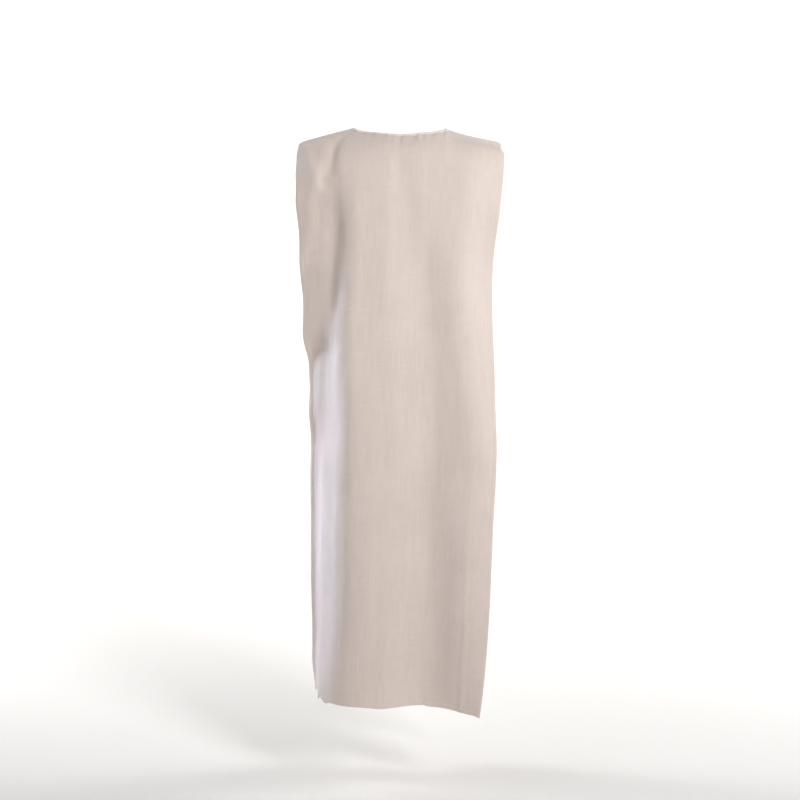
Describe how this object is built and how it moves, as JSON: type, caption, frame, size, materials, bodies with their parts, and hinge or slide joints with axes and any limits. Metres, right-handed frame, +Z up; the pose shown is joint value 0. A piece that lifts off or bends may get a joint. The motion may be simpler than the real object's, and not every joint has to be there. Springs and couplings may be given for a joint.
{
  "type": "scapular",
  "caption": "Long sleeveless over-garment of cream cotton canvas: a back and a front panel joined at the shoulders, with a bound neck opening and open sides.",
  "frame": {"origin": "midway between the two points where the neck opening meets the shoulder seams, where the wearer's shoulders hold the garment up", "axes": "+Z up along the hanging panels, the wearer faces -Y so the back panel is at +Y, and +X is the wearer's left"},
  "size_m": [0.4687, 0.2888, 1.3545],
  "materials": {
    "canvas_back": "unbleached cotton canvas, matt plain weave",
    "canvas_front": "unbleached cotton canvas, matt plain weave",
    "binding": "bias strip of the same cotton, matt"
  },
  "bodies": {
    "root": {"back_panel": "canvas_back", "front_panel": "canvas_front", "neck_binding": "binding"}
  },
  "joints": []
}
